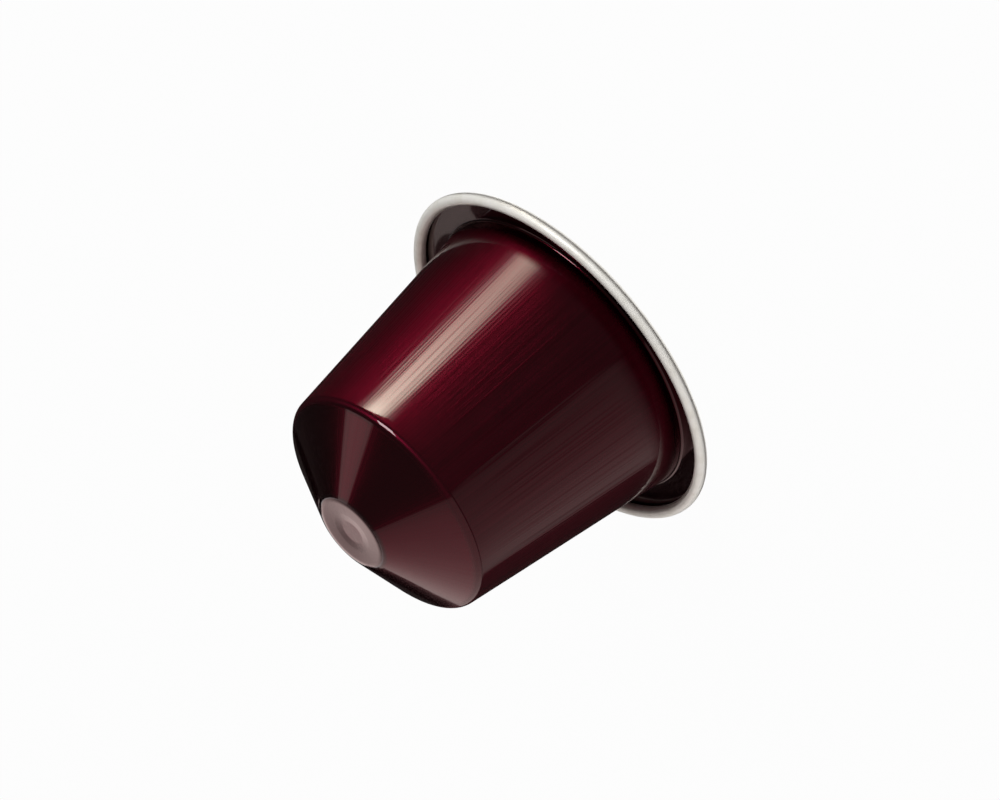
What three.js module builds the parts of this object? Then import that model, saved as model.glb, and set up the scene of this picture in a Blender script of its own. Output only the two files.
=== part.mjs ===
// Sealed single-serve coffee pod: a drawn aluminium cup, lacquered on the outside,
// closed by a foil lid. Millimetres, +Z up. The pod stands on its lid with its nose
// up, and the origin is the centre of the lid's underside.
import * as THREE from 'three';

// Flange and curled rim
const rimDiameter = 37.0;         // over the curl
const curlDiameter = 1.2;         // the rolled edge of the sheet
const sheetThickness = 0.12;      // drawn aluminium of the flange

// Lid
const lidThickness = 0.04;
const lidInset = 0.4;             // its edge, inside the line where the curl starts

// Tapered wall, shoulder and nose, before their corners are rounded
const wallFootDiameter = 30.2;    // where the wall meets the flange
const shoulderDiameter = 24.0;
const shoulderHeight = 24.0;      // above the lid's underside
const noseDiameter = 8.0;
const podHeight = 28.5;           // overall, lid to nose

// Round dimple in the nose
const dimpleDiameter = 4.2;
const dimpleFloorDiameter = 3.3;
const dimpleDepth = 0.4;

// Corner radii
const footRadius = 0.3;
const shoulderRadius = 0.9;
const noseRadius = 2.0;
const dimpleEdgeRadius = 0.3;
const dimpleFloorRadius = 0.25;

// Fineness of the turned surfaces
const turnSegments = 72;
const curlSteps = 12;             // underside to inner side, three quarter turns
const hookSteps = 3;              // inner side down to the flange
const cornerSteps = 3;

// Places that follow from the sizes above
const flangeUnderside = lidThickness;
const flangeFace = flangeUnderside + sheetThickness;
const curlRadius = curlDiameter / 2;
const curlCentreR = rimDiameter / 2 - curlRadius;
const curlCentreZ = flangeUnderside + curlRadius;
const lidDiameter = 2 * (curlCentreR - lidInset);

const lacqueredAluminium = new THREE.MeshStandardMaterial({
  color: 0x6e1230, roughness: 0.28, metalness: 0.85,
});
const bareFoil = new THREE.MeshStandardMaterial({
  color: 0xc9c7c4, roughness: 0.38, metalness: 1.0,
});

// Points of a circular arc in the (radius, height) half plane, both ends included
function arc(centreR, centreZ, radius, fromAngle, toAngle, steps) {
  const points = [];
  for (let i = 0; i <= steps; i += 1) {
    const angle = fromAngle + (toAngle - fromAngle) * i / steps;
    points.push(new THREE.Vector2(
      centreR + radius * Math.cos(angle),
      centreZ + radius * Math.sin(angle),
    ));
  }
  return points;
}

// Rounds the corner between two straight stretches with a tangent arc
function roundCorner(before, tip, after, radius) {
  const back = before.clone().sub(tip).normalize();
  const ahead = after.clone().sub(tip).normalize();
  const halfAngle = Math.acos(THREE.MathUtils.clamp(back.dot(ahead), -1, 1)) / 2;
  const bisector = back.clone().add(ahead).normalize();
  const centre = tip.clone().addScaledVector(bisector, radius / Math.sin(halfAngle));
  const reach = radius / Math.tan(halfAngle);
  const first = tip.clone().addScaledVector(back, reach).sub(centre).angle();
  const last = tip.clone().addScaledVector(ahead, reach).sub(centre).angle();
  const turn = THREE.MathUtils.euclideanModulo(last - first + Math.PI, 2 * Math.PI) - Math.PI;
  return arc(centre.x, centre.y, radius, first, first + turn, cornerSteps);
}

// Straight stretches through the given corners, each rounded by its own radius
function roundedLine(corners) {
  return corners.flatMap(({ at, radius }, i) => (
    radius ? roundCorner(corners[i - 1].at, at, corners[i + 1].at, radius) : [at]
  ));
}

function corner(diameter, height, radius = 0) {
  return { at: new THREE.Vector2(diameter / 2, height), radius };
}

// The outline runs along the underside, round the curl, over the flange's face,
// up the wall and the cone, and over the nose into its dimple
function cupOutline() {
  const curlMeetsFlange = Math.PI + Math.asin((curlCentreZ - flangeFace) / curlRadius);
  const curl = arc(curlCentreR, curlCentreZ, curlRadius, -Math.PI / 2, Math.PI, curlSteps);
  const hook = arc(curlCentreR, curlCentreZ, curlRadius, Math.PI, curlMeetsFlange, hookSteps);
  const curlEnd = hook[hookSteps];
  const dimpleFloor = podHeight - dimpleDepth;
  const body = roundedLine([
    corner(2 * curlEnd.x, flangeFace),
    corner(wallFootDiameter, flangeFace, footRadius),
    corner(shoulderDiameter, shoulderHeight, shoulderRadius),
    corner(noseDiameter, podHeight, noseRadius),
    corner(dimpleDiameter, podHeight, dimpleEdgeRadius),
    corner(dimpleFloorDiameter, dimpleFloor, dimpleFloorRadius),
    corner(0, dimpleFloor),
  ]);
  return [corner(0, flangeUnderside).at, ...curl, ...hook.slice(1), ...body.slice(1)];
}

function lidOutline() {
  return [
    corner(0, 0).at,
    corner(lidDiameter, 0).at,
    corner(lidDiameter, lidThickness).at,
    corner(0, lidThickness).at,
  ];
}

// A turned solid with its axis on +Z
function turned(name, outline, material) {
  const geometry = new THREE.LatheGeometry(outline, turnSegments);
  geometry.rotateX(Math.PI / 2);
  const mesh = new THREE.Mesh(geometry, material);
  mesh.name = name;
  return mesh;
}

const group = new THREE.Group();
// The cup is one sheet from nose to curl; sealed with its coffee, it is one solid
group.add(turned('cup', cupOutline(), lacqueredAluminium));
group.add(turned('foil_lid', lidOutline(), bareFoil));

export default group;
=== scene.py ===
import math
import bpy
from mathutils import Matrix, Vector


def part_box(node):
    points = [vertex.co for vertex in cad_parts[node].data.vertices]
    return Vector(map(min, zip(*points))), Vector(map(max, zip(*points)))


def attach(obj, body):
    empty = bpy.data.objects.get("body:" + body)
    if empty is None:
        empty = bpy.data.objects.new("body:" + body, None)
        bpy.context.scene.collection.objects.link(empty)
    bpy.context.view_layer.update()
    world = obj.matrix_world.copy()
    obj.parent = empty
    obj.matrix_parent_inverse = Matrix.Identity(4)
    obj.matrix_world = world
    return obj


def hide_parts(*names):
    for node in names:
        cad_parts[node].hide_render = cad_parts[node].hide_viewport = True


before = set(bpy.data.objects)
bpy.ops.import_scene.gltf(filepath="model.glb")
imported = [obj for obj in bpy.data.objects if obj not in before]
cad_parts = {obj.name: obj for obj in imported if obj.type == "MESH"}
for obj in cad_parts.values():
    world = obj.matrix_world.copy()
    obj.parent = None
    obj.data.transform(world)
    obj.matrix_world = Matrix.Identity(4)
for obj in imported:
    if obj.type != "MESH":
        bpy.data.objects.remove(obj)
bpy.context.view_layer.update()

mm = 0.001
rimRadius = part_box("cup")[1].x
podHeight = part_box("cup")[1].z
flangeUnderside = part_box("cup")[0].z
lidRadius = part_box("foil_lid")[1].x
sheetThickness = 0.12 * mm  # of the cup
curlRadius = 0.6 * mm  # of the rim's rolled edge


# Nodes

class Wire:  # a socket that takes part in Python expressions
    def __init__(self, graph, socket):
        self.graph = graph
        self.socket = socket

    def output(self, name):  # another output of the same node
        return Wire(self.graph, self.socket.node.outputs[name])

    def __add__(self, other):
        return self.graph.maths("ADD", self, other)

    def __sub__(self, other):
        return self.graph.maths("SUBTRACT", self, other)

    def __rsub__(self, other):
        return self.graph.maths("SUBTRACT", other, self)

    def __mul__(self, other):
        return self.graph.maths("MULTIPLY", self, other)

    def __truediv__(self, other):
        return self.graph.maths("DIVIDE", self, other)

    __radd__ = __add__


class Graph:
    def __init__(self, tree):
        self.tree = tree

    # Type first, then its settings, then the values or links of its sockets
    def add(self, kind, settings=None, values=None):
        node = self.tree.nodes.new(kind)
        for key, value in (settings or {}).items():
            if key == "choices":
                while len(node.index_switch_items) < value:
                    node.index_switch_items.new()
            else:
                setattr(node, key, value)
        for key, value in (values or {}).items():
            if isinstance(key, int):
                socket = node.inputs[key]
            else:
                socket = next(s for s in node.inputs if s.name == key and s.enabled)
            if isinstance(value, Wire):
                self.tree.links.new(value.socket, socket)
            else:
                socket.default_value = value
        shown = [s for s in node.outputs if s.enabled]
        return Wire(self, shown[0]) if shown else None

    def maths(self, operation, *values):
        return self.add("ShaderNodeMath", {"operation": operation}, dict(enumerate(values)))

    def vector(self, x=0.0, y=0.0, z=0.0):
        return self.add("ShaderNodeCombineXYZ", None, {"X": x, "Y": y, "Z": z})

    def split(self, vector):
        parts = self.add("ShaderNodeSeparateXYZ", None, {"Vector": vector})
        return [parts.output(axis) for axis in "XYZ"]

    def distance(self, first, second):
        apart = self.add("ShaderNodeVectorMath", {"operation": "DISTANCE"}, {0: first, 1: second})
        return apart.output("Value")

    def smooth(self, value, low, high, lowResult=0.0, highResult=1.0):
        return self.add("ShaderNodeMapRange", {"interpolation_type": "SMOOTHSTEP"}, {
            "Value": value, "From Min": low, "From Max": high,
            "To Min": lowResult, "To Max": highResult})

    def band(self, value, rise, fall, left=0.0):  # up to 1 over the rise, down to left over the fall
        return self.smooth(value, *rise) * self.smooth(value, *fall, 1.0, left)

    def noise(self, vector, scale, detail, roughness):
        return self.add("ShaderNodeTexNoise", None, {
            "Vector": vector, "Scale": scale, "Detail": detail, "Roughness": roughness})

    def mix(self, factor, first, second):
        return self.add("ShaderNodeMix", {"data_type": "RGBA"}, {
            "Factor": factor, "A": first, "B": second})

    def bump(self, height, distance):
        return self.add("ShaderNodeBump", None, {"Distance": distance, "Height": height})


# Finishes

def newMaterial(name):
    material = bpy.data.materials.new(name)
    material.use_nodes = True
    material.node_tree.nodes.clear()
    return material, Graph(material.node_tree)


def finishMaterial(g, shader):
    g.add("ShaderNodeOutputMaterial", None, {"Surface": shader})


def fromAxis(g, x, y):
    return g.maths("SQRT", x * x + y * y)


def roundTheAxis(g, place):  # distance from the axis, direction from it as a unit vector, height
    x, y, height = g.split(place)
    radius = fromAxis(g, x, y)
    return radius, x / radius, y / radius, height


lacquer = {
    "deep": (0.066, 0.0015, 0.0085, 1),
    "bright": (0.125, 0.0030, 0.0170, 1),
    "flats": (0.050, 0.0022, 0.0070, 1),  # on the flange and the nose's flat end
    # Heights at which each stretch starts softly and ends softly
    "drawn": ((0.5 * mm, 1.7 * mm), (23.4 * mm, 23.9 * mm)),
    "bent": ((23.3 * mm, 23.6 * mm), (24.1 * mm, 24.4 * mm)),  # over the shoulder's edge
    "scored": ((1.5 * mm, 7.0 * mm), (17.0 * mm, 23.0 * mm)), "scoredAbove": 0.2,
    # Painted shade: the coat is all but taken off the wall's foot, just above the flange, so that
    # the corner between them looks dark
    "footShade": ((0.22 * mm, 0.40 * mm), (2.1 * mm, 3.0 * mm)), "footShadeDepth": 0.95,  # of the coat
    "noseFlat": (28.25 * mm, 28.40 * mm), "flangeFlat": (0.30 * mm, 0.45 * mm),
    "lineCount": 75.0,  # drawing lines in a radian, about
    "lineDrift": 30.0,  # how fast they change with height
    "streakRange": (0.34, 0.70), "scoreRange": (0.55, 0.64), "scoreStrength": 0.40,
    "flowScale": 420.0, "grainScale": 5200.0,
    "streakShare": 0.35, "flowShare": 0.25, "plainShare": 0.65,  # of the bright colour
    "smoothRoughness": 0.17, "drawnRoughness": 0.37, "lineRoughness": 0.46,
    "broadRoughness": 0.12, "flowRoughness": 0.04,
    "reliefDepth": 0.04 * mm,
}


def makeLacquer():
    material, g = newMaterial("burgundyLacquer")
    place = g.add("ShaderNodeTexCoord").output("Object")
    across, along, height = roundTheAxis(g, place)[1:]
    drawn = g.band(height, *lacquer["drawn"])
    stretched = g.maths("MAXIMUM", drawn, g.band(height, *lacquer["bent"]))
    scored = g.band(height, *lacquer["scored"], lacquer["scoredAbove"])
    flats = g.smooth(height, *lacquer["noseFlat"])
    flats = flats + g.smooth(height, *lacquer["flangeFlat"], 1.0, 0.0)
    count = lacquer["lineCount"]
    lineSpace = g.vector(across * count, along * count, height * lacquer["lineDrift"])
    lines = g.noise(lineSpace, 1.0, 4.0, 0.65)
    broad = g.noise(lineSpace, 0.12, 2.0, 0.5)
    scores = g.noise(lineSpace, 0.8, 1.5, 0.5)
    flow = g.noise(place, lacquer["flowScale"], 2.0, 0.5)  # the lacquer's slow flow, everywhere
    grain = g.noise(place, lacquer["grainScale"], 1.0, 0.5)
    streak = g.smooth(lines, *lacquer["streakRange"]) * drawn
    share = streak * lacquer["streakShare"] + flow * lacquer["flowShare"]
    share = share + (1.0 - stretched) * lacquer["plainShare"]
    colour = g.mix(share, lacquer["deep"], lacquer["bright"])
    colour = g.mix(flats, colour, lacquer["flats"])
    plain, worked = lacquer["smoothRoughness"], lacquer["drawnRoughness"]
    rough = plain + stretched * (worked - plain) + streak * (lacquer["lineRoughness"] - worked)
    rough = rough + (broad - 0.5) * drawn * lacquer["broadRoughness"]
    rough = rough + (flow - 0.5) * lacquer["flowRoughness"]
    relief = scores * scored + grain * 0.01 + flow * 0.05
    marks = g.smooth(scores, *lacquer["scoreRange"]) * scored
    # Painted shade at the wall's foot, where it meets the flange: the coat is cut away there
    footShade = g.band(height, *lacquer["footShade"])
    coat = 1.0 - marks * lacquer["scoreStrength"] - footShade * lacquer["footShadeDepth"]
    shader = g.add("ShaderNodeBsdfPrincipled", None, {
        "Base Color": colour, "Metallic": 1.0, "Roughness": rough, "Anisotropic": 0.75,
        "Coat Weight": coat, "Coat Roughness": 0.03, "Coat IOR": 1.5,
        "Normal": g.bump(relief, lacquer["reliefDepth"])})
    finishMaterial(g, shader)
    return material


bareMetal = {
    "light": (0.93, 0.91, 0.865, 1),
    "dull": (0.81, 0.785, 0.715, 1),
    "rollTurn": 1.5, "rollUp": 9000.0, "rollOut": 6000.0,  # how fast the rolling marks change
    "patchScale": 700.0, "patchRange": (0.35, 0.70), "patchShare": 0.6, "rollShare": 0.25,
    # Matt by this share outside and on top, from these radii and these heights: painted light and
    # shade, the lamp-facing outer top made matt to catch the lamps, the inner and lower side kept
    # mirror-like and dark
    "mattShare": 0.70, "outside": (17.2 * mm, 18.45 * mm), "topside": (0.42 * mm, 0.85 * mm),
    "reliefDepth": 0.004 * mm,
}


def makeBareRim():
    material, g = newMaterial("bareRimAluminium")
    place = g.add("ShaderNodeTexCoord").output("Object")
    radius, across, along, height = roundTheAxis(g, place)
    turn = bareMetal["rollTurn"]
    level = height * bareMetal["rollUp"] + radius * bareMetal["rollOut"]
    rolled = g.noise(g.vector(across * turn, along * turn, level), 1.0, 3.0, 0.6)
    patches = g.noise(place, bareMetal["patchScale"], 3.0, 0.55)
    share = g.smooth(patches, *bareMetal["patchRange"]) * bareMetal["patchShare"]
    share = share + rolled * bareMetal["rollShare"]
    colour = g.mix(share, bareMetal["light"], bareMetal["dull"])
    rough = 0.36 + patches * 0.10 + rolled * 0.08
    # Painted light and shade: only the curl's outer top, which faces the lamps, is made matt
    matt = g.smooth(radius, *bareMetal["outside"]) * g.smooth(height, *bareMetal["topside"])
    metallic = 1.0 - matt * bareMetal["mattShare"]
    shader = g.add("ShaderNodeBsdfPrincipled", None, {
        "Base Color": colour, "Metallic": metallic, "Roughness": rough,
        "Normal": g.bump(rolled * 0.6 + patches * 0.15, bareMetal["reliefDepth"])})
    finishMaterial(g, shader)
    return material


foil = {
    "light": (0.88, 0.875, 0.86, 1),
    "dull": (0.70, 0.695, 0.68, 1),
    "sealed": ((15.2 * mm, 15.4 * mm), (17.1 * mm, 17.3 * mm)),  # radii, pressed onto the flange
    "rollAcross": 60.0, "rollAlong": 6000.0, "creaseScale": 260.0,
    "reliefDepth": 0.06 * mm,
}


def makeFoil():
    material, g = newMaterial("lidFoil")
    place = g.add("ShaderNodeTexCoord").output("Object")
    x, y = g.split(place)[:2]
    rolling = g.noise(g.vector(x * foil["rollAcross"], y * foil["rollAlong"]), 1.0, 3.0, 0.6)
    creases = g.noise(place, foil["creaseScale"], 4.0, 0.55)
    sealed = g.band(fromAxis(g, x, y), *foil["sealed"])
    colour = g.mix(rolling * 0.5 + sealed * 0.25, foil["light"], foil["dull"])
    rough = 0.24 + rolling * 0.12 + sealed * 0.10
    relief = rolling * 0.05 + creases * (1.0 - sealed) + sealed * 0.4
    shader = g.add("ShaderNodeBsdfPrincipled", None, {
        "Base Color": colour, "Metallic": 1.0, "Roughness": rough, "Anisotropic": 0.3,
        "Normal": g.bump(relief, foil["reliefDepth"])})
    finishMaterial(g, shader)
    return material


# Turned pieces, each an outline carried round the axis by Geometry Nodes

pathRadius = 1.0 * mm


def newTree(name, sizes):
    tree = bpy.data.node_groups.new(name, "GeometryNodeTree")
    tree.interface.new_socket("Geometry", in_out="OUTPUT", socket_type="NodeSocketGeometry")
    kinds = {float: "NodeSocketFloat", int: "NodeSocketInt"}
    for label, value in sizes.items():
        tree.interface.new_socket(label, in_out="INPUT", socket_type=kinds[type(value)])
    g = Graph(tree)
    given = tree.nodes.new("NodeGroupInput")
    return g, {label: Wire(g, given.outputs[label]) for label in sizes}


def curveThrough(g, count, place):
    points = g.add("GeometryNodeMeshLine", None, {"Count": count})
    points = g.add("GeometryNodeSetPosition", None, {"Geometry": points, "Position": place})
    return g.add("GeometryNodeMeshToCurve", None, {"Mesh": points})


# Corners are (radius, height, rounding); edges longer than a row are divided
def outlineThrough(g, size, corners):
    index = g.add("GeometryNodeInputIndex")
    places = {0: index}
    rounds = {0: index}
    for i, (radius, height, rounding) in enumerate(corners):
        places[i + 1] = g.vector(radius - pathRadius, height * -1.0)
        rounds[i + 1] = rounding
    choices = len(corners)
    place = g.add("GeometryNodeIndexSwitch", {"data_type": "VECTOR", "choices": choices}, places)
    rounding = g.add("GeometryNodeIndexSwitch", {"data_type": "FLOAT", "choices": choices}, rounds)
    outline = g.add("GeometryNodeFilletCurve", {"mode": "POLY"}, {
        "Curve": curveThrough(g, choices, place), "Count": size["Round Steps"],
        "Radius": rounding, "Limit Radius": True})
    position = g.add("GeometryNodeInputPosition")
    after = g.add("GeometryNodeFieldAtIndex", {"data_type": "FLOAT_VECTOR"}, {
        "Value": position, "Index": index + 1})
    rowCount = g.distance(position, after) / size["Row Pitch"]
    return g.add("GeometryNodeSubdivideCurve", None, {
        "Curve": outline, "Cuts": g.maths("FLOOR", rowCount)})


def carryRound(g, outline, turnSteps):  # outline points hold (radius - pathRadius, -height)
    path = g.add("GeometryNodeCurvePrimitiveCircle", None, {
        "Resolution": turnSteps, "Radius": pathRadius})
    return g.add("GeometryNodeCurveToMesh", None, {"Curve": path, "Profile Curve": outline})


def finishTree(g, mesh, material):
    mesh = g.add("GeometryNodeMergeByDistance", None, {"Geometry": mesh, "Distance": 0.0005 * mm})
    mesh = g.add("GeometryNodeFlipFaces", None, {"Mesh": mesh})  # outwards
    mesh = g.add("GeometryNodeSetShadeSmooth", None, {"Geometry": mesh})
    mesh = g.add("GeometryNodeRealizeInstances", None, {"Geometry": mesh})
    mesh = g.add("GeometryNodeSetMaterial", None, {"Geometry": mesh, "Material": material})
    g.add("NodeGroupOutput", None, {"Geometry": mesh})


def grow(name, tree, sizes):  # runs a tree on an empty mesh and keeps its result as a plain mesh
    holder = bpy.data.objects.new(name + "Holder", bpy.data.meshes.new(name + "Holder"))
    bpy.context.scene.collection.objects.link(holder)
    modifier = holder.modifiers.new("turn", "NODES")
    modifier.node_group = tree
    for item in tree.interface.items_tree:
        if item.in_out == "INPUT":
            modifier[item.identifier] = sizes[item.name]
    bpy.context.view_layer.update()
    evaluated = holder.evaluated_get(bpy.context.evaluated_depsgraph_get())
    mesh = bpy.data.meshes.new_from_object(evaluated)
    holder.modifiers.remove(modifier)
    bpy.data.objects.remove(holder)
    mesh.name = name
    piece = bpy.data.objects.new(name, mesh)
    bpy.context.scene.collection.objects.link(piece)
    return piece


cupSizes = {
    "Rim Radius": rimRadius, "Pod Height": podHeight, "Flange Underside": flangeUnderside,
    "Sheet": sheetThickness, "Curl Radius": curlRadius,
    "Edge Row": 3.0,  # width of the flange's last row, in sheet thicknesses
    "Foot Radius": 15.1 * mm, "Shoulder Radius": 12.0 * mm, "Shoulder Height": 24.0 * mm,
    "Nose Radius": 4.0 * mm, "Nose Dish": 0.08 * mm,
    "Dimple Radius": 2.15 * mm, "Dimple Floor Radius": 1.25 * mm, "Dimple Depth": 0.15 * mm,
    "Foot Round": 0.3 * mm, "Shoulder Round": 0.9 * mm, "Nose Round": 2.0 * mm,
    "Dimple Round": 1.2 * mm, "Floor Round": 2.0 * mm,
    "Row Pitch": 2.0 * mm, "Round Steps": 10, "Turn Steps": 960,
    "Line Depth": 0.036 * mm, "Lines": 60.0, "Line Seed": 4.0,
    "Line Drift": 28.0, "Slow Scale": 0.12, "Slow Share": 1.5,
}
lineFade = ((1.5 * mm, 8.0 * mm), (18.0 * mm, 23.2 * mm))  # heights where the lines come and go
lineLeft = 0.25  # of their depth, above the fade
lineEnd = (23.0 * mm, 23.3 * mm)


def drawLines(g, size, mesh):  # the wall's radius changes by a hair from line to line
    across, along, height = roundTheAxis(g, g.add("GeometryNodeInputPosition"))[1:]
    drawn = g.band(height, *lineFade, lineLeft) * g.smooth(height, *lineEnd, 1.0, 0.0)
    drift = height * size["Line Drift"] + size["Line Seed"]
    lineSpace = g.vector(across * size["Lines"], along * size["Lines"], drift)
    fine = g.noise(lineSpace, 1.0, 1.6, 0.6) - 0.5
    slow = g.noise(lineSpace, size["Slow Scale"], 1.0, 0.5) - 0.5
    depth = (fine + slow * size["Slow Share"]) * drawn * size["Line Depth"]
    offset = g.vector(across * depth, along * depth)
    return g.add("GeometryNodeSetPosition", None, {"Geometry": mesh, "Offset": offset})


def growCup(material):
    g, size = newTree("turnedCup", cupSizes)
    flangeFace = size["Flange Underside"] + size["Sheet"]
    flangeEdge = size["Rim Radius"] - size["Curl Radius"]
    top = size["Pod Height"]
    floor = top - size["Dimple Depth"]
    outline = outlineThrough(g, size, [
        (0.0, size["Flange Underside"], 0.0),
        (flangeEdge, size["Flange Underside"], 0.0),
        (flangeEdge, flangeFace, 0.0),
        (flangeEdge - size["Sheet"] * size["Edge Row"], flangeFace, 0.0),
        (size["Foot Radius"], flangeFace, size["Foot Round"]),
        (size["Shoulder Radius"], size["Shoulder Height"], size["Shoulder Round"]),
        (size["Nose Radius"], top, size["Nose Round"]),
        (size["Dimple Radius"], top - size["Nose Dish"], size["Dimple Round"]),
        (size["Dimple Floor Radius"], floor, size["Floor Round"]),
        (0.0, floor, 0.0),
    ])
    mesh = drawLines(g, size, carryRound(g, outline, size["Turn Steps"]))
    finishTree(g, mesh, material)
    return grow("cupSkin", g.tree, cupSizes)


curlSizes = {
    "Rim Radius": rimRadius, "Flange Underside": flangeUnderside, "Curl Radius": curlRadius,
    "Start Angle": -90.0, "End Angle": 218.0,  # from the flange's underside, round the outside
    "Tightening": 0.06, "Curl Steps": 40, "Turn Steps": 480,
}


def growCurl(material):
    g, size = newTree("rolledCurl", curlSizes)
    centreRadius = size["Rim Radius"] - size["Curl Radius"]
    centreHeight = size["Flange Underside"] + size["Curl Radius"]
    share = g.add("GeometryNodeInputIndex") / (size["Curl Steps"] - 1)
    degree = size["Start Angle"] + share * (size["End Angle"] - size["Start Angle"])
    angle = g.maths("RADIANS", degree)
    radius = size["Curl Radius"] * (1.0 - share * share * size["Tightening"])
    place = g.vector(
        centreRadius - pathRadius + radius * g.maths("COSINE", angle),
        (centreHeight + radius * g.maths("SINE", angle)) * -1.0)
    outline = curveThrough(g, size["Curl Steps"], place)
    finishTree(g, carryRound(g, outline, size["Turn Steps"]), material)
    piece = grow("rimCurl", g.tree, curlSizes)
    sheet = piece.modifiers.new("sheet", "SOLIDIFY")
    sheet.thickness = sheetThickness
    sheet.offset = -1.0
    return piece


lidSizes = {
    "Lid Radius": lidRadius, "Lid Thickness": flangeUnderside, "Edge Round": 0.015 * mm,
    "Row Pitch": 1.0 * mm, "Round Steps": 3, "Turn Steps": 360,
}


def growLid(material):
    g, size = newTree("turnedLid", lidSizes)
    outline = outlineThrough(g, size, [
        (0.0, 0.0, 0.0),
        (size["Lid Radius"], 0.0, size["Edge Round"]),
        (size["Lid Radius"], size["Lid Thickness"], size["Edge Round"]),
        (0.0, size["Lid Thickness"], 0.0),
    ])
    finishTree(g, carryRound(g, outline, size["Turn Steps"]), material)
    return grow("lidSkin", g.tree, lidSizes)


def keepNormals(piece):  # long flat rows keep their own normals beside a rounded corner
    weighted = piece.modifiers.new("normals", "WEIGHTED_NORMAL")
    weighted.weight = 80
    weighted.keep_sharp = False


print("growing the pod")
cup = growCup(makeLacquer())
curl = growCurl(makeBareRim())
lid = growLid(makeFoil())
keepNormals(cup)
for piece, slot, node in ((cup, "lacquered_aluminium", "cup"), (curl, "bare_aluminium", "cup"),
                          (lid, "bare_aluminium", "foil_lid")):
    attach(piece, "root")
    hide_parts(node)
    print(piece.name, len(piece.data.vertices), "points")


# Camera, rolled so that the nose points down and to the left as in the photograph

view = {
    "elevation": 25.66,  # above the surface that the pod stands on
    "noseAngle": 220.36,  # direction of the nose in the image, from its right, anticlockwise
    "distance": 0.8,
    "pixelsPerMm": 10.824,  # at the pod, in an image of 1000 x 800
    "imageWidth": 1000,
    "aim": (-3.744 * mm, -3.804 * mm),  # where the axis point below falls, from the image's middle
    "aimHeight": 14.09 * mm,
    "sensor": 36.0,
}


def makeCamera():
    up = math.radians(view["elevation"])
    roll = math.radians(90.0 - view["noseAngle"])
    toCamera = Vector((0.0, -math.cos(up), math.sin(up)))
    level = Vector((1.0, 0.0, 0.0))
    upright = Vector((0.0, math.sin(up), math.cos(up)))
    across = math.cos(roll) * level + math.sin(roll) * upright
    upwards = math.cos(roll) * upright - math.sin(roll) * level
    axisPoint = Vector((0.0, 0.0, view["aimHeight"]))
    middle = axisPoint - view["aim"][0] * across - view["aim"][1] * upwards
    data = bpy.data.cameras.new("camera")
    camera = bpy.data.objects.new("camera", data)
    bpy.context.scene.collection.objects.link(camera)
    data.sensor_width = view["sensor"]
    data.lens = view["pixelsPerMm"] * view["distance"] / mm * view["sensor"] / view["imageWidth"]
    camera.matrix_world = Matrix.Translation(middle + view["distance"] * toCamera) @ Matrix(
        (across, upwards, toCamera)).transposed().to_4x4()
    bpy.context.scene.camera = camera


# Studio: a pale floor, soft light, and cards and strips that only reflections see

studio = {
    "floorRadius": 3.0, "floorDrop": 0.05 * mm, "floorTone": 0.40,
    "whiteShare": 0.97,  # how much of the floor's look is plain white, the rest takes shadow
    "fillSide": 2.2, "fillTop": 0.10,  # the room's light on matt surfaces, level and from above
    "keyAzimuth": 53.0, "keyRise": 32.0, "keyDistance": 0.35,
    "keySize": (0.10, 0.12), "keyGlow": 10.0,
    "hoodDistance": 0.40, "airShare": 0.95,  # the air cards' share of it, in front of the hood
    "ringLift": 0.02 * mm, "cardLift": 0.04 * mm,  # of the dark ring and of the floor's cards
    "ringInner": 18.6 * mm, "ringOuter": 0.42,
    "shownRadius": 9 * mm, "shownHeight": 26 * mm,  # where the shoulder shows the air cards
    "cardColour": (1.20, 1.0, 0.95, 1), "lampColour": (1.0, 0.92, 0.75, 1),
    "lampFrom": (1.0, 3.0),  # the glow from which a card takes the lamps' colour
    "darkGlow": 0.012, "frontGlow": 0.045,  # dark cards: everywhere, and more on the camera's side
    "sideSteps": 60, "floorRows": 32, "airRows": 24, "ringSteps": 120,
}
allRound = (-180, 180)
hoodTilts = (12.5, 85)

# Cards on the floor, in the stretch of the wall that shows them: its azimuths and heights in mm,
# the glow, its growth towards the far end, its soft near end in mm, and its profile across
floorCards = {
    "veilCard": {
        "azimuths": (-63, -14), "heights": (1.9, 60), "glow": 0.40, "growth": 1.0, "softEnd": 2.5,
        "profile": ((0.0, 0.03), (0.07, 0.90), (0.18, 1.0), (0.33, 0.83), (0.45, 0.67),
                    (0.55, 0.61), (0.96, 0.43), (1.0, 0.03)),
    },
    "stripLamp": {
        "azimuths": (25, 46), "heights": (1.7, 27.5), "glow": 5.4, "growth": 3.0, "softEnd": 0.7,
        "profile": ((0.0, 0.0), (0.18, 0.10), (0.36, 0.80), (0.5, 1.0), (0.64, 0.80),
                    (0.82, 0.08), (1.0, 0.0)),
    },
}

# Cards in the air, by the azimuths and tilts of the surfaces that show them
airCards = {
    "leftScreen": {
        "azimuths": (-98, -15.5), "tilts": (12.5, 72), "glow": 0.58,
        "profile": ((0.0, 0.02), (0.02, 1.0), (0.98, 0.46), (1.0, 0.02)),
    },
    "coneLamp": {
        "azimuths": (32, 51.5), "tilts": (12.5, 33), "glow": 0.56,
        "profile": ((0.0, 0.02), (0.1, 1.0), (0.9, 1.0), (1.0, 0.02)),
    },
}

# Behind, seen in the nose's flat end: brighter towards the horizon
noseCard = {
    "tilts": (0, 12.6), "rows": 12, "distance": 0.36,
    "glow": 0.80, "slope": 0.08, "least": 0.02, "most": 1.05,
}

# Low cards behind, seen by the flange beside the wall, in mm: ends in x, place in y, and the
# heights of the lower and the upper edge at each end
backCards = {
    "leftShade": {"ends": (-29, -9), "behind": 64, "edges": ((16, 16), (46, 46)), "glow": 0.0},
    "rightShade": {"ends": (9, 24), "behind": 64, "edges": ((16, 16), (46, 46)), "glow": 0.0},
    "flangePanel": {
        "ends": (11.5, 18.9), "behind": 62, "edges": ((23.5, 29.3), (26.7, 35.3)), "glow": 0.36,
    },
}


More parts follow.
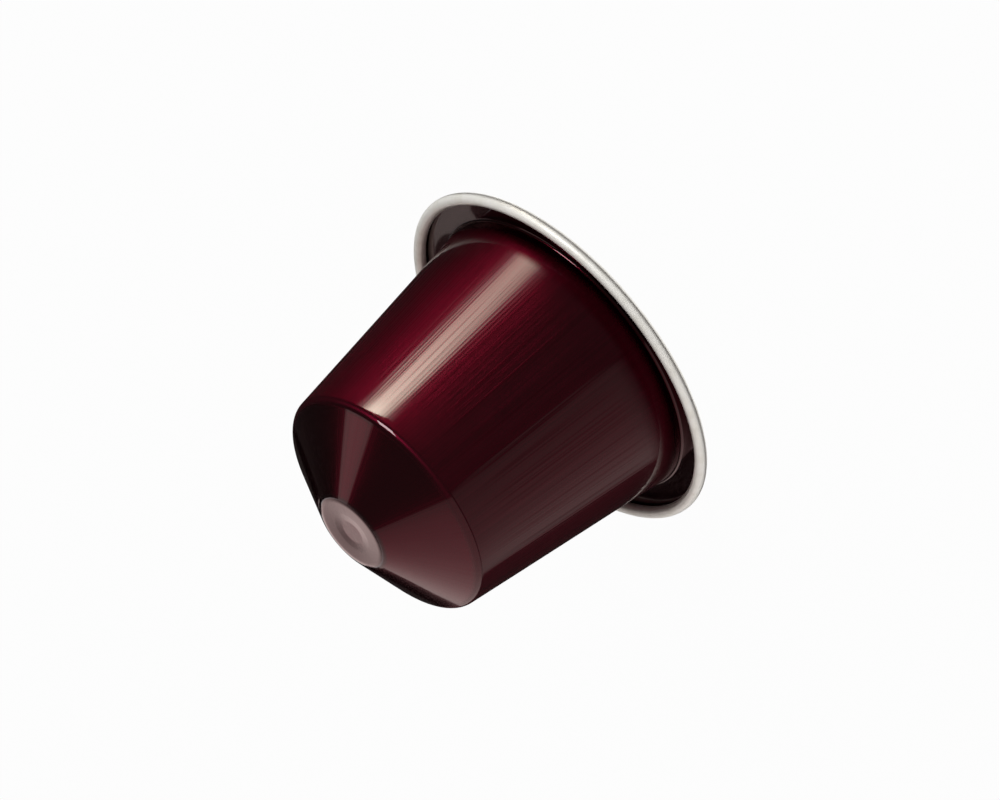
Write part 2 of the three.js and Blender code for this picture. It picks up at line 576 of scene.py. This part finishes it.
def seenDirectly(g):  # 1 for what the eye, a mirror or glass sees, 0 for light on a matt surface
    path = g.add("ShaderNodeLightPath")
    seen = g.maths("MAXIMUM", path.output("Is Camera Ray"), path.output("Is Glossy Ray"))
    return g.maths("MAXIMUM", seen, path.output("Is Transmission Ray"))


def makeSheet(name, rows, material):  # rows of points, a face between each two rows and columns
    across = len(rows[0])
    faces = [(j * across + i, j * across + i + 1, (j + 1) * across + i + 1, (j + 1) * across + i)
             for j in range(len(rows) - 1) for i in range(across - 1)]
    mesh = bpy.data.meshes.new(name)
    mesh.from_pydata([tuple(point) for row in rows for point in row], [], faces)
    mesh.materials.append(material)
    sheet = bpy.data.objects.new(name, mesh)
    bpy.context.scene.collection.objects.link(sheet)
    return sheet


def makeFloor():
    material, g = newMaterial("paleFloor")
    matt = g.add("ShaderNodeBsdfDiffuse", None, {"Color": (studio["floorTone"],) * 3 + (1,)})
    white = g.add("ShaderNodeEmission", None, {"Color": (1, 1, 1, 1), "Strength": 1.0})
    share = seenDirectly(g) * studio["whiteShare"]
    finishMaterial(g, g.add("ShaderNodeMixShader", None, {0: share, 1: matt, 2: white}))
    edge = studio["floorRadius"]
    rows = [[(x, y, -studio["floorDrop"]) for x in (-edge, edge)] for y in (-edge, edge)]
    makeSheet("floor", rows, material)


def makeCardMaterial():
    material, g = newMaterial("reflectedCard")
    glow = g.add("ShaderNodeAttribute", {"attribute_name": "glow"}).output("Fac")
    lampShare = g.smooth(glow, *studio["lampFrom"])
    tint = g.mix(lampShare, studio["cardColour"], studio["lampColour"])
    finishMaterial(g, g.add("ShaderNodeEmission", None, {"Color": tint, "Strength": glow}))
    return material


def makeCard(name, rows, glows, material):  # a glow for each point
    card = makeSheet(name, rows, material)
    values = card.data.attributes.new("glow", "FLOAT", "POINT")
    values.data.foreach_set("value", [glow for row in glows for glow in row])
    card.visible_camera = False
    card.visible_diffuse = False
    card.visible_shadow = False
    card.visible_transmission = False


def stepped(ends, count):
    return [ends[0] + (ends[1] - ends[0]) * i / count for i in range(count + 1)]


def normalAt(azimuth, tilt):  # azimuth from the camera's side towards +X, tilt from straight up
    turn = math.radians(azimuth)
    lean = math.radians(tilt)
    level = math.sin(lean)
    return Vector((math.sin(turn) * level, -math.cos(turn) * level, math.cos(lean)))


def bounce(normal, place):  # where the camera's line of sight goes from a mirror at this place
    toCamera = (bpy.context.scene.camera.matrix_world.translation - place).normalized()
    return 2 * normal.dot(toCamera) * normal - toCamera


def wallMirror(azimuth, height):  # the floor point that the wall shows at this azimuth and height
    foot = cupSizes["Foot Radius"]
    lean = math.atan((foot - cupSizes["Shoulder Radius"]) / cupSizes["Shoulder Height"])
    start = normalAt(azimuth, 90.0) * (foot - height * math.tan(lean)) + Vector((0, 0, height))
    ray = bounce(normalAt(azimuth, 90.0 - math.degrees(lean)), start)
    return start - ray * (start.z / ray.z)


def profileAt(profile, share):  # straight between the profile's (share, value) pairs
    for (low, first), (high, second) in zip(profile, profile[1:]):
        if share <= high:
            return first + (second - first) * (share - low) / (high - low)
    return profile[-1][1]


def profileAcross(profile):
    return [profileAt(profile, share) for share in stepped((0, 1), studio["sideSteps"])]


def softStep(share):
    share = min(max(share, 0.0), 1.0)
    return share * share * (3 - 2 * share)


def darkAt(azimuth):  # the glow of a dark card, 0 azimuth being the camera's side
    front = max(0.0, math.cos(math.radians(azimuth)))
    return studio["darkGlow"] + studio["frontGlow"] * front ** 2


def makeDarkRing(material):  # on the floor, round the rim
    azimuths = stepped((0, 360), studio["ringSteps"])
    rows = []
    for radius in (studio["ringInner"], studio["ringOuter"]):
        points = [normalAt(azimuth, 90.0) * radius for azimuth in azimuths]
        rows.append([(point.x, point.y, studio["ringLift"]) for point in points])
    glows = [darkAt(azimuth) for azimuth in azimuths]
    makeCard("darkRing", rows, [glows] * len(rows), material)


def makeFloorCards(material):
    for name, card in floorCards.items():
        near, far = card["heights"]
        profile = profileAcross(card["profile"])
        rows = []
        glows = []
        for share in stepped((0, 1), studio["floorRows"]):
            rise = (far - near) * share ** 2
            azimuths = stepped(card["azimuths"], studio["sideSteps"])
            points = [wallMirror(azimuth, (near + rise) * mm) for azimuth in azimuths]
            rows.append([(point.x, point.y, studio["cardLift"]) for point in points])
            growth = 1.0 + (card["growth"] - 1.0) * share ** 4
            strength = card["glow"] * growth * softStep(rise / card["softEnd"])
            glows.append([studio["darkGlow"] + strength * value for value in profile])
        makeCard(name, rows, glows, material)


def airRows(azimuths, tilts, reach):
    rows = []
    for tilt in stepped(tilts, studio["airRows"]):
        row = []
        for azimuth in stepped(azimuths, studio["sideSteps"]):
            start = normalAt(azimuth, 90.0) * studio["shownRadius"]
            start.z = studio["shownHeight"]
            row.append(start + bounce(normalAt(azimuth, tilt), start) * reach)
        rows.append(row)
    return rows


def makeDarkHood(material):  # all round, behind the other cards
    rows = airRows(allRound, hoodTilts, studio["hoodDistance"])
    glows = [darkAt(azimuth) for azimuth in stepped(allRound, studio["sideSteps"])]
    makeCard("darkHood", rows, [glows] * len(rows), material)


def makeAirCards(material):
    reach = studio["airShare"] * studio["hoodDistance"]
    for name, card in airCards.items():
        rows = airRows(card["azimuths"], card["tilts"], reach)
        glows = [card["glow"] * value for value in profileAcross(card["profile"])]
        makeCard(name, rows, [glows] * len(rows), material)


def noseGlow(azimuth, tilt):
    glow = noseCard["glow"] - noseCard["slope"] * tilt * math.cos(math.radians(azimuth))
    return min(noseCard["most"], max(noseCard["least"], glow))


def makeNoseCard(material):
    start = Vector((0, 0, podHeight))
    azimuths = stepped(allRound, studio["sideSteps"])
    rows = []
    glows = []
    for tilt in stepped(noseCard["tilts"], noseCard["rows"]):
        rays = [bounce(normalAt(azimuth, tilt), start) for azimuth in azimuths]
        rows.append([start + ray * noseCard["distance"] for ray in rays])
        glows.append([noseGlow(azimuth, tilt) for azimuth in azimuths])
    makeCard("noseCard", rows, glows, material)


def makeBackCards(material):
    for name, card in backCards.items():
        rows = [[(x * mm, card["behind"] * mm, z * mm) for x, z in zip(card["ends"], edge)]
                for edge in card["edges"]]
        makeCard(name, rows, [[card["glow"]] * 2] * 2, material)


def makeKeyLight():
    place = normalAt(studio["keyAzimuth"], 90.0 - studio["keyRise"]) * studio["keyDistance"]
    width, height = studio["keySize"]
    data = bpy.data.lights.new("softKey", "AREA")
    data.shape = "RECTANGLE"
    data.size = width
    data.size_y = height
    data.energy = studio["keyGlow"] * math.pi * width * height
    light = bpy.data.objects.new("softKey", data)
    bpy.context.scene.collection.objects.link(light)
    light.location = place
    light.rotation_euler = place.to_track_quat("Z", "Y").to_euler()
    light.visible_camera = False


def makeRoom():  # the light from all round, plain white where it is looked at
    world = bpy.data.worlds.new("studioWorld")
    bpy.context.scene.world = world
    world.use_nodes = True
    world.node_tree.nodes.clear()
    g = Graph(world.node_tree)
    rise = g.split(g.add("ShaderNodeTexCoord").output("Generated"))[2]
    fill = g.smooth(rise, 0.0, 1.0, studio["fillSide"], studio["fillTop"])
    strength = fill + seenDirectly(g) * (1.0 - fill)
    backdrop = g.add("ShaderNodeBackground", None, {"Color": (1, 1, 1, 1), "Strength": strength})
    g.add("ShaderNodeOutputWorld", None, {"Surface": backdrop})


def makeStudio():
    makeFloor()
    makeRoom()
    cardMaterial = makeCardMaterial()
    makeDarkRing(cardMaterial)
    makeFloorCards(cardMaterial)
    makeDarkHood(cardMaterial)
    makeAirCards(cardMaterial)
    makeNoseCard(cardMaterial)
    makeBackCards(cardMaterial)
    makeKeyLight()


print("camera and studio")
makeCamera()
makeStudio()
bpy.context.scene.view_settings.view_transform = "Standard"

print("done")
